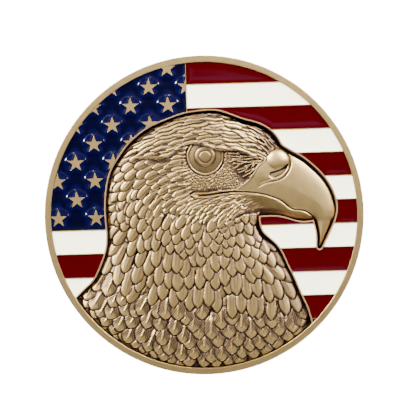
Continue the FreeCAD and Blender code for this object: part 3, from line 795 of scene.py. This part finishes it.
def metal_material(name, patina_and_shade):
    """Satin plated metal. With the flag set, the mesh's own tone says how dark each place is: dark oxide in
    the hollows, with painted shade and painted shadow.
    """
    material, tree, shader = new_material(name, Metallic=1.0, Roughness=0.37)
    nodes, links = tree.nodes, tree.links
    ramp = nodes.new("ShaderNodeValToRGB")
    stops = ramp.color_ramp.elements
    for place, _ in PATINA_AND_SHADE[1:-1]:
        stops.new(place)
    for stop, (_, colour) in zip(stops, PATINA_AND_SHADE):
        stop.color = (*colour, 1)
    mix = nodes.new("ShaderNodeMath")
    mix.operation = "MULTIPLY_ADD"
    links.new(noise_over(tree, 900.0, Detail=4.0), mix.inputs[0])
    mix.inputs[1].default_value = MOTTLE
    if patina_and_shade:
        shift = nodes.new("ShaderNodeMath")
        shift.operation = "ADD"
        links.new(from_mesh(tree, "tone"), shift.inputs[0])
        shift.inputs[1].default_value = -MOTTLE / 2
        links.new(shift.outputs[0], mix.inputs[2])
    else:
        mix.inputs[2].default_value = PLAIN_TONE
    links.new(mix.outputs[0], ramp.inputs["Fac"])
    links.new(ramp.outputs["Color"], shader.inputs["Base Color"])
    bump = nodes.new("ShaderNodeBump")
    settle(bump, Strength=0.12, Distance=0.00003)
    links.new(noise_over(tree, 9000.0), bump.inputs["Height"])
    links.new(bump.outputs["Normal"], shader.inputs["Normal"])
    return material


def enamel_material(name, colour, second, roughness, thin=None):
    """Hardened glossy enamel with a faint unevenness of colour, and a painted reflection: a lighter colour
    where the mesh's thin value is set, round the stars.
    """
    material, tree, shader = new_material(name, Roughness=roughness, IOR=1.5)
    links = tree.links
    mix = colour_mix(tree, noise_over(tree, 260.0, Detail=2.0))
    settle(mix, A=(*colour, 1), B=(*second, 1))
    if thin:
        reflection_mix = colour_mix(tree, from_mesh(tree, "thin"))
        settle(reflection_mix, B=(*thin, 1))
        links.new(mix.outputs["Result"], reflection_mix.inputs["A"])
        mix = reflection_mix
    links.new(mix.outputs["Result"], shader.inputs["Base Color"])
    return material


# ---------------- pieces ----------------
def make_piece(name, points, faces, material, cad_node="coin_body", smooth=True):
    """A mesh from points in millimetres, shown in place of a CAD node."""
    mesh = bpy.data.meshes.new(name)
    mesh.from_pydata((np.asarray(points, float) * MM).tolist(), [], faces)
    mesh.polygons.foreach_set("use_smooth", [smooth] * len(mesh.polygons))
    mesh.update()
    piece = bpy.data.objects.new(name, mesh)
    bpy.context.scene.collection.objects.link(piece)
    mesh.materials.append(material)
    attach(piece, "root")
    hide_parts(cad_node)
    return piece


def carry(piece, name, known):
    """Gives a mesh a value at each point: these for the first ones, and 0 for the rest."""
    values = np.zeros(len(piece.data.vertices), np.float32)
    values[:len(known)] = known
    layer = piece.data.attributes.new(name, "FLOAT", "POINT")
    layer.data.foreach_set("value", values)


def sample(grid, field, x, y):
    """A value of the fine height field at any place."""
    return between(grid, (x - field["xs"][0]) / field["step"], (y - field["ys"][0]) / field["step"])


def walls_and_floor(faces, points, low):
    """Closes a surface underneath: a wall round its open edge, and one flat face below."""
    n = len(points)
    a = np.concatenate([np.array(f) for f in faces])
    b = np.concatenate([np.roll(np.array(f), -1) for f in faces])
    key = a.astype(np.int64) * n + b
    back = b.astype(np.int64) * n + a
    free = ~np.isin(key, back) & (a != b)
    follow = dict(zip(a[free].tolist(), b[free].tolist()))
    loops = []
    while follow:
        start = next(iter(follow))
        loop = [start]
        step = follow.pop(start)
        while step != start and step in follow:
            loop.append(step)
            step = follow.pop(step)
        loops.append(loop)
    loop = max(loops, key=len)
    rim = points[loop].copy()
    rim[:, 2] = low
    m = len(loop)
    below = list(range(n, n + m))
    walls = [[loop[(k + 1) % m], loop[k], below[k], below[(k + 1) % m]] for k in range(m)]
    return np.concatenate([points, rim]), walls + [below[::-1]]


def make_relief(field, tone, spacing, material):
    """The eagle: a fine surface over the ground inside its outline, closed underneath."""
    gx = np.arange(-18.7, 18.8, spacing)
    gy = np.arange(-21.4, 14.8, spacing)
    mx, my = np.meshgrid((gx[1:] + gx[:-1]) / 2, (gy[1:] + gy[:-1]) / 2)
    kept = (sample(field["edge"], field, mx, my) > 0) & (np.hypot(mx, my) < R_IN + 0.06)
    for _ in range(8):
        # no cell may touch the rest by one corner or hang on by one side
        ring = np.pad(kept, 1)
        across = ring[1:-1, :-2] | ring[1:-1, 2:]
        along = ring[:-2, 1:-1] | ring[2:, 1:-1]
        kept &= across & along
        for view in (kept, kept[:, ::-1]):
            ring = np.pad(view, ((0, 1), (0, 1)))
            view &= ~(ring[:-1, :-1] & ring[1:, 1:] & ~ring[:-1, 1:] & ~ring[1:, :-1])
    used = np.zeros((len(gy), len(gx)), bool)
    for corner in (used[:-1, :-1], used[1:, :-1], used[:-1, 1:], used[1:, 1:]):
        corner |= kept
    number = np.full(used.shape, -1)
    number[used] = np.arange(used.sum())
    jj, ii = np.nonzero(used)
    px, py = gx[ii], gy[jj]
    top = np.column_stack([px, py, sample(field["height"], field, px, py)])
    j, i = np.nonzero(kept)
    quads = np.column_stack([number[j, i], number[j, i + 1], number[j + 1, i + 1], number[j + 1, i]])
    points, closing = walls_and_floor(quads, top, RELIEF_FOOT)
    piece = make_piece("eagle_relief", points, quads.tolist() + closing, material)
    carry(piece, "tone", sample(tone, field, px, py))


def turned(name, profile, material, count=360):
    """A round piece from (radius, height) points, first and last on the axis."""
    ang = 2 * np.pi * np.arange(count) / count
    points = [(0, 0, profile[0][1])]
    for r, z in profile[1:-1]:
        points += np.column_stack([r * np.cos(ang), r * np.sin(ang), np.full(count, z)]).tolist()
    points.append((0, 0, profile[-1][1]))
    last = len(points) - 1
    faces = []
    for k in range(count):
        n = (k + 1) % count
        faces.append([0, 1 + n, 1 + k])
        for ring in range(len(profile) - 3):
            a = 1 + ring * count
            faces.append([a + k, a + n, a + count + n, a + count + k])
        a = 1 + (len(profile) - 3) * count
        faces.append([last, a + k, a + n])
    make_piece(name, points, faces, material)


def swept(name, line, section, material):
    """A bar that follows a line, its section given as (to the left, height) points."""
    way = line[1:] - line[:-1]
    way = way / np.hypot(*way.T)[:, None]
    into = np.concatenate([way[:1], way])
    out = np.concatenate([way, way[-1:]])
    mid = into + out
    mid = mid / np.hypot(*mid.T)[:, None]
    stretch = 1 / np.clip((mid * out).sum(1), 0.4, 1)
    side = np.column_stack([-mid[:, 1], mid[:, 0]]) * stretch[:, None]
    m = len(section)
    points = []
    for p, q in zip(line, side):
        points += [(p[0] + q[0] * o, p[1] + q[1] * o, z) for o, z in section]
    faces = [list(range(m)), [len(points) - 1 - k for k in range(m)]]
    for k in range(len(line) - 1):
        for e in range(m):
            f = (e + 1) % m
            faces.append([k * m + e, (k + 1) * m + e, (k + 1) * m + f, k * m + f])
    make_piece(name, points, faces, material, smooth=False)


def in_eagle(field, x, y):
    """True where a point lies inside the eagle's outline."""
    return inside(np.array([x]), np.array([y]), field["closed"])[0]


def crossings(line, y):
    """Where a line of points crosses a height, as sorted x values."""
    y0, y1 = line[:-1, 1], line[1:, 1]
    hit = (y0 - y) * (y1 - y) < 0
    t = (y - y0[hit]) / (y1[hit] - y0[hit])
    return sorted(line[:-1, 0][hit] + t * (line[1:, 0][hit] - line[:-1, 0][hit]))


def reach(y, radius=R_IN):
    """Half the width of the face at a height."""
    return math.sqrt(max(0.0, radius**2 - y**2))


def spread(count, ends=0.55):
    """Even steps from 0 to 1, drawn closer together near both ends."""
    t = np.linspace(0, 1, count)
    return (1 - ends) * t + ends * t * t * (3 - 2 * t)


STRIPE = 3.31
CANTON_X = -2.0
CANTON_LOW = -0.5 * STRIPE
ENAMEL_Z = 3.25
RIDGE_W = 0.12
STAR_R = 1.26
STAR_WAIST = 0.382
STAR_ACROSS = 2.61
STAR_DOWN = 2.565
STAR_TOP = 17.95
# lines run this far into the rim's wall, and stars this far
LINE_IN_RIM = 0.2
STAR_IN_RIM = 0.15


def stripe_y(k):
    """The height of the line under stripe k, counted from the top."""
    return (6.5 - k) * STRIPE


def star_spots():
    """The middles of the stars, in rows that are set half a step apart."""
    spots = []
    for row in range(-1, 8):
        for column in range(0, 8):
            if (row + column) % 2 == 0:
                spots.append((CANTON_X - STAR_ACROSS * column, STAR_TOP - STAR_DOWN * row))
    return spots


def star_points(cx, cy):
    points = []
    for k in range(10):
        a = math.pi / 2 + k * math.pi / 5
        size = STAR_R if k % 2 == 0 else STAR_R * STAR_WAIST
        points.append((cx + size * math.cos(a), cy + size * math.sin(a)))
    return points


def clipped(points, nx, ny, limit):
    """The part of a closed shape where nx * x + ny * y is below the limit."""
    kept = []
    for k in range(len(points)):
        a, b = points[k - 1], points[k]
        da = nx * a[0] + ny * a[1] - limit
        db = nx * b[0] + ny * b[1] - limit
        if (da < 0) != (db < 0):
            t = da / (da - db)
            kept.append((a[0] + t * (b[0] - a[0]), a[1] + t * (b[1] - a[1])))
        if db < 0:
            kept.append(b)
    return kept


def area_of(points):
    total = 0
    for k in range(len(points)):
        total += points[k - 1][0] * points[k][1] - points[k][0] * points[k - 1][1]
    return total / 2


def all_stars(field):
    """The outlines of the stars that show, cut off at the rim, the canton's edge and the eagle."""
    outline = field["outline"]
    shown = []
    for cx, cy in star_spots():
        star = star_points(cx, cy)
        if math.hypot(cx, cy) > R_IN + 1.2 or cy < CANTON_LOW:
            continue
        star = clipped(star, 1, 0, CANTON_X - RIDGE_W / 2)
        n = math.hypot(cx, cy)
        star = clipped(star, cx / n, cy / n, R_IN + STAR_IN_RIM)
        away = np.hypot(outline[:, 0] - cx, outline[:, 1] - cy)
        k = int(np.argmin(away))
        if away[k] < 1.4:
            a, b = outline[max(0, k - 2)], outline[min(len(outline) - 1, k + 2)]
            ex, ey = (b - a) / np.hypot(*(b - a))
            # the outline runs with the eagle on its right
            star = clipped(star, ey, -ex, ey * outline[k, 0] - ex * outline[k, 1])
        elif in_eagle(field, cx, cy):
            continue
        if len(star) > 2 and area_of(star) > 0.05:
            shown.append(star)
    return shown


def make_stars(stars, material):
    points, faces = [], []
    for star in stars:
        n, m = len(points), len(star)
        points += [(x, y, FOOT_Z) for x, y in star] + [(x, y, LINE_Z) for x, y in star]
        faces.append([n + k for k in range(m)][::-1])
        faces.append([n + m + k for k in range(m)])
        faces += [[n + k, n + (k + 1) % m, n + m + (k + 1) % m, n + m + k] for k in range(m)]
    piece = make_piece("stars", points, faces, material, smooth=False)
    edge = piece.modifiers.new("rounded", "BEVEL")
    edge.width = 0.04 * MM
    edge.segments = 2
    edge.limit_method = "ANGLE"


# the sections of the thin metal lines, as (to the left, height)
LINE_SECTION = [(-0.075, 2.04), (-0.06, 3.38), (-0.04, LINE_Z), (0.04, LINE_Z), (0.06, 3.38), (0.075, 2.04)]
OUTLINE_SECTION = [
    (-0.13, 2.04), (-0.095, 3.0), (-0.085, 3.37), (-0.055, LINE_Z), (0.055, LINE_Z), (0.085, 3.37),
    (0.095, 3.3), (0.12, 2.04)]


def make_lines(field, material):
    """The metal lines between the stripes and beside the canton."""
    outline = field["outline"]
    for k in range(1, 12):
        y = stripe_y(k)
        end = reach(y, R_IN + LINE_IN_RIM)
        ends = [-end, end] + crossings(outline, y)
        if k < 7:
            ends = [e for e in ends if e > CANTON_X] + [CANTON_X]
        ends = sorted(ends)
        for n, (x0, x1) in enumerate(zip(ends[:-1], ends[1:])):
            mid = (x0 + x1) / 2
            if x1 - x0 < 0.25 or math.hypot(mid, y) > R_IN:
                continue
            if in_eagle(field, mid, y):
                continue
            line = np.array([(x0, y), (x1, y)])
            swept(f"line_{k}_{n}", line, LINE_SECTION, material)
    crown = [p[1] for p in outline if abs(p[0] - CANTON_X) < 0.15 and p[1] > 10][0]
    line = np.array([(CANTON_X, crown), (CANTON_X, reach(CANTON_X, R_IN + LINE_IN_RIM))])
    swept("canton_line", line, LINE_SECTION, material)


def gap_to_stars(x, y, stars):
    """Distance to the nearest star's edge, 0 inside a star."""
    best = np.full(x.shape, 9.0)
    for star in stars:
        s = np.array(star)
        cx, cy = s.mean(0)
        close = np.hypot(x - cx, y - cy) < 2.6
        if not close.any():
            continue
        d, _ = line_distance(x[close], y[close], np.concatenate([s, s[:1]]))
        d = np.where(inside(x[close], y[close], s), 0, d)
        best[close] = np.minimum(best[close], d)
    return best


def enamel_patch(name, grid, field, material, stars, notched):
    """One cell of enamel. The grid is rows of (x, y) points that reach the cell's edges."""
    x, y = grid[..., 0], grid[..., 1]
    d, _ = line_distance(x, y, field["outline"][::2])
    d = np.clip(d - OUTLINE_W / 2, 0, None)
    d = np.minimum(d, np.clip(R_IN - np.hypot(x, y), 0, None))
    in_canton = (x < CANTON_X) & (y > CANTON_LOW + 1)
    levels = np.abs((y / STRIPE - 0.5) - np.round(y / STRIPE - 0.5)) * STRIPE - RIDGE_W / 2
    d = np.where(in_canton, d, np.minimum(d, np.clip(levels, 0, None)))
    beside = np.abs(x - CANTON_X) - RIDGE_W / 2
    d = np.where(y > 8, np.minimum(d, np.clip(beside, 0, None)), d)
    dome = 0.0
    if stars:
        d = np.minimum(d, gap_to_stars(x, y, stars))
        for cx, cy in star_spots():
            dome = dome + smoothstep((1.66 - np.hypot(x - cx, y - cy)) / 0.26)
    steep = 0.045 if stars else 0.03
    z = ENAMEL_Z - 0.01 + steep * bell(d / 0.25) + 0.05 * np.clip(1 - d, 0, 1) ** 2 + 0.036 * dome
    rows, cols = x.shape
    points = np.column_stack([x.ravel(), y.ravel(), z.ravel()])
    j, i = np.mgrid[0:rows - 1, 0:cols - 1]
    a = (j * cols + i).ravel()
    quads = np.column_stack([a, a + 1, a + cols + 1, a + cols])
    turn = 0.0
    for k in range(4):
        u, v = points[quads[:, k]], points[quads[:, (k + 1) % 4]]
        turn = turn + (u[:, 0] * v[:, 1] - v[:, 0] * u[:, 1]).sum()
    if turn < 0:
        quads = quads[:, ::-1]
    if notched:
        under = sample(field["edge"], field, x.ravel(), y.ravel()) > 0.05
        quads = quads[~under[quads].any(1)]
    points, closing = walls_and_floor(quads, points, FOOT_Z)
    piece = make_piece(name, points, quads.tolist() + closing, material, name)
    if stars:
        # painted reflection: a lighter halo above each star, a little to the left, where the enamel's rise
        # would catch the lamps; carried as the thin value
        low = gap_to_stars(x + 0.1, y - 0.3, stars)
        carry(piece, "thin", smoothstep((0.75 - low) / 0.15).ravel())
    # joins the points that meet at a cell's corner, and drops those of no face
    work = bmesh.new()
    work.from_mesh(piece.data)
    bmesh.ops.remove_doubles(work, verts=work.verts, dist=0.002 * MM)
    bmesh.ops.delete(work, geom=[v for v in work.verts if not v.link_faces], context="VERTS")
    work.to_mesh(piece.data)
    work.free()


def rows_between(ys, left, right, step=0.14):
    """Rows of points from one edge to the other, for each height."""
    wide = max(right(y) - left(y) for y in ys)
    t = spread(max(8, int(wide / step)), 0.35)
    return np.array([[(left(y) + (right(y) - left(y)) * s, y) for s in t] for y in ys])


def columns_between(xs, low, high, step=0.14):
    """Columns of points from one edge to the other, for each place across."""
    return rows_between(xs, low, high, step)[..., ::-1]


def make_enamel(field, stars, paints):
    """Every cell of enamel. Each name says its colour, and its stripe counted from the top."""
    nape, _, beak_back, jaw, throat = [smooth_line(r, 0.1) for r in RUNS]
    under_rim = R_IN + 0.04

    def steps(low, high, count, ends):
        return low + (high - low) * spread(count, ends)

    def stripe(k, left, right):
        """Rows over stripe k from one edge to the other, closer near its lines."""
        return rows_between(steps(stripe_y(k), stripe_y(k - 1), int(STRIPE / 0.14), 0.45), left, right)

    def rim(v):
        """Half the enamel's width at a height, or half its height at a place across."""
        return reach(v, under_rim)

    def left_rim(y):
        return -rim(y)

    def meet(line, at, missing=None, pick=0, beyond=-99):
        """Where a line crosses a height, first or last, or what to use where it doesn't."""
        found = [v for v in crossings(line, at) if v > beyond]
        return found[pick] if found else missing

    def nape_x(y):
        return meet(nape, y, CANTON_X)

    def beak_x(y):
        return meet(field["outline"], y, 9.5, -1, 9)

    def crown_y(x):
        return meet(nape[:, ::-1], x, -99, -1, 9)

    def throat_x(y):
        return meet(throat, y)

    def back_x(y):
        return meet(beak_back, y, 15.4)

    def jaw_y(x):
        return meet(jaw[:, ::-1], x, -0.5)

    over_1 = steps(CANTON_X, reach(stripe_y(1)), 96, 0.3)
    over_3 = steps(CANTON_X, reach(stripe_y(3)), 150, 0.3)
    jaw_floor = stripe_y(7)
    cells = {
        "blue_canton": rows_between(steps(CANTON_LOW, reach(CANTON_X), 240, 0), left_rim,
                                    lambda y: min(CANTON_X, nape_x(y)), 0.095),
        # above the crown
        "red_1": columns_between(over_1, lambda x: stripe_y(1), lambda x: max(stripe_y(1), rim(x))),
        "white_2": stripe(2, lambda y: CANTON_X, rim),
        "red_3": columns_between(over_3, lambda x: max(stripe_y(3), crown_y(x)),
                                 lambda x: min(stripe_y(2), rim(x))),
        # in front of the head
        "white_4": stripe(4, beak_x, rim),
        "red_5": stripe(5, beak_x, rim),
        "white_6": stripe(6, beak_x, rim),
        "red_7_right": stripe(7, beak_x, rim),
        "white_8_right": stripe(8, beak_x, rim),
        # under the beak, and down the throat
        "red_7_jaw": columns_between(steps(7.74, 15.3, 56, 0.3), lambda x: jaw_floor,
                                     lambda x: max(jaw_floor + 0.02, jaw_y(x)), 0.1),
        "white_8_throat": stripe(8, throat_x, back_x),
        "red_9_right": stripe(9, throat_x, rim),
        "white_10_right": stripe(10, throat_x, rim),
        "red_11": rows_between(steps(-15.6, stripe_y(10), 30, 0.35), throat_x,
                               lambda y: max(throat_x(y), rim(y))),
        # behind the nape
        "white_8_left": stripe(8, left_rim, nape_x),
        "red_9_left": stripe(9, left_rim, nape_x),
        "white_10_left": rows_between(steps(-10.9, stripe_y(9), 22, 0.35), left_rim,
                                      lambda y: max(-rim(y), nape_x(y))),
    }
    for name, grid in cells.items():
        colour = name.split("_")[0]
        shown = stars if name == "blue_canton" else ()
        # the beak's point dips into one cell
        notched = name == "red_9_right"
        enamel_patch("enamel_" + name, grid, field, paints[colour], shown, notched)


# ---------------- the scene ----------------
# name, place, width and height, power, colour: each lamp points at the coin's middle
LIGHTS = [
    ("key", (-0.24, 0.20, 0.30), (0.14, 0.14), 8.4, (1.0, 0.98, 0.95)),
    ("over", (0.125, 0.15, 0.20), (0.12, 0.10), 3.0, (1.0, 0.97, 0.95)),
    ("low", (0.05, -0.28, 0.20), (0.30, 0.10), 1.0, (1.0, 0.97, 0.95)),
    ("sky", (0.0235, 0.068, 0.345), (0.053, 0.066), 0.0075, (0.6, 0.35, 1.0)),
]
SHEET_COLOUR = (0.92, 0.92, 0.92, 1)
SHEET_GLOW = 16.0
BOUNCE_GLOW = 0.55
FAR = 1.0
WALL_HIGH = 1.5
WORLD_COLOUR = (1.0, 0.98, 0.95, 1)
WORLD_STRENGTH = 0.02
# the camera looks straight down, turned a little, from this far above the face
CAMERA_TURN = math.radians(1.7)
CAMERA_AWAY = 0.3092
CAMERA_RIGHT = -0.000582
CAMERA_UP = 0.002076
LENS = 200
SENSOR = 36


def area_light(name, place, size, power, colour):
    light = bpy.data.lights.new(name, "AREA")
    light.shape = "RECTANGLE"
    light.size, light.size_y = size
    light.energy = power
    light.color = colour
    lamp = bpy.data.objects.new(name, light)
    lamp.location = place
    lamp.rotation_euler = (-Vector(place)).to_track_quat("-Z", "Y").to_euler()
    bpy.context.scene.collection.objects.link(lamp)


def surround(name, points, faces, glow, seen):
    """A pale sheet round the coin. One that is seen casts no light or shadow, the other only lights."""
    mesh = bpy.data.meshes.new(name)
    mesh.from_pydata(points, [], faces)
    sheet = bpy.data.objects.new(name, mesh)
    bpy.context.scene.collection.objects.link(sheet)
    material, _, _ = new_material(name, Base_Color=SHEET_COLOUR, Roughness=0.9, Emission_Color=(1, 1, 1, 1),
                                  Emission_Strength=glow)
    mesh.materials.append(material)
    sheet.visible_camera = seen
    sheet.visible_diffuse = not seen
    sheet.visible_glossy = not seen
    sheet.visible_shadow = not seen


def set_scene():
    """The sheets, the lights and the camera."""
    scene = bpy.context.scene
    for name, z, glow, seen in (("floor", -0.00005, SHEET_GLOW, True),
                                ("floor_bounce", -0.0003, BOUNCE_GLOW, False)):
        square = [(-FAR, -FAR, z), (FAR, -FAR, z), (FAR, FAR, z), (-FAR, FAR, z)]
        surround(name, square, [(0, 1, 2, 3)], glow, seen)
    count = 64
    radius = 0.98 * FAR
    ring = [(radius * math.cos(a), radius * math.sin(a)) for a in np.arange(count) * 2 * math.pi / count]
    wall = [(x, y, z) for z in (0.0, WALL_HIGH) for x, y in ring]
    panes = [(k, (k + 1) % count, count + (k + 1) % count, count + k) for k in range(count)]
    surround("backdrop", wall, panes, SHEET_GLOW, True)

    world = bpy.data.worlds.new("studio")
    scene.world = world
    world.use_nodes = True
    settle(world.node_tree.nodes["Background"], Color=WORLD_COLOUR, Strength=WORLD_STRENGTH)
    for lamp in LIGHTS:
        area_light(*lamp)

    ex = Vector((math.cos(CAMERA_TURN), -math.sin(CAMERA_TURN), 0))
    ey = Vector((math.sin(CAMERA_TURN), math.cos(CAMERA_TURN), 0))
    camera_data = bpy.data.cameras.new("camera")
    camera_data.sensor_width = SENSOR
    camera_data.lens = LENS
    camera = bpy.data.objects.new("camera", camera_data)
    middle = ex * CAMERA_RIGHT + ey * CAMERA_UP
    camera.location = (middle.x, middle.y, THICKNESS * MM + CAMERA_AWAY)
    camera.rotation_euler = (0, 0, -CAMERA_TURN)
    scene.collection.objects.link(camera)
    scene.camera = camera


# ---------------- the blank: the back, the edge, the rim and the ground under the relief ----------------
ROUND = 0.12
BACK_Z = 0.30
GROUND_Z = 2.05


def blank_profile():
    """The struck blank's outline from the middle of its back round to the middle of its face."""
    corner = R_OUT - ROUND
    rounding = [(corner + ROUND * math.sin(a), ROUND - ROUND * math.cos(a))
                for a in np.radians([0, 15, 30, 45, 60, 75, 90])]
    back = [(r, BACK_Z) for r in (0, 6, 12, 18, 20.6)]
    back += [(20.95, 0.29), (21.08, 0.2), (21.16, 0.06), (21.24, 0.01), (21.33, 0.0), (21.37, 0.0)]
    back += [(corner - 0.02, 0.0)]
    side = rounding + [(R_OUT, 0.14), (R_OUT, THICKNESS / 2), (R_OUT, THICKNESS - 0.14)]
    side += [(r, THICKNESS - z) for r, z in rounding[::-1]]
    face = [(r, THICKNESS) for r in (corner - 0.02, 21.40, 21.37)]
    face += [(21.33, THICKNESS - 0.015), (R_IN, THICKNESS - 0.07), (R_IN - 0.005, THICKNESS - 0.12)]
    face += [(R_IN - 0.01, 2.8), (R_IN - 0.02, GROUND_Z), (15, GROUND_Z), (0, GROUND_Z)]
    return back + side + face


def outline_path(outline):
    """The eagle's outline up to the rim, with no point twice."""
    apart = np.hypot(*(outline[1:] - outline[:-1]).T)
    outline = outline[np.concatenate([[True], apart > 1e-6])]
    return outline[np.hypot(*outline.T) < R_IN + 0.35]


field = build()
add_head(field)
tone = finish_relief(field)
stars = all_stars(field)

relief_metal = metal_material("relief_metal", True)
plain_metal = metal_material("plain_metal", False)
paints = {
    "red": enamel_material("red_enamel", (0.022, 0.0001, 0.0004), (0.026, 0.0002, 0.0006), 0.08),
    "white": enamel_material("white_enamel", (0.93, 0.88, 0.66), (0.90, 0.85, 0.62), 0.08),
    # the blue's last colour is a painted reflection, a lighter halo round the stars
    "blue": enamel_material("blue_enamel", (0.00004, 0.0000, 0.0050), (0.0001, 0.0000, 0.0060), 0.155,
                            thin=(0.0003, 0.0002, 0.0130)),
}

make_relief(field, tone, MESH, relief_metal)
turned("struck_blank", blank_profile(), plain_metal)
swept("outline_ridge", outline_path(field["outline"]), OUTLINE_SECTION, bright_line_material("rubbed_metal"))
make_lines(field, plain_metal)
make_stars(stars, plain_metal)
make_enamel(field, stars, paints)
set_scene()
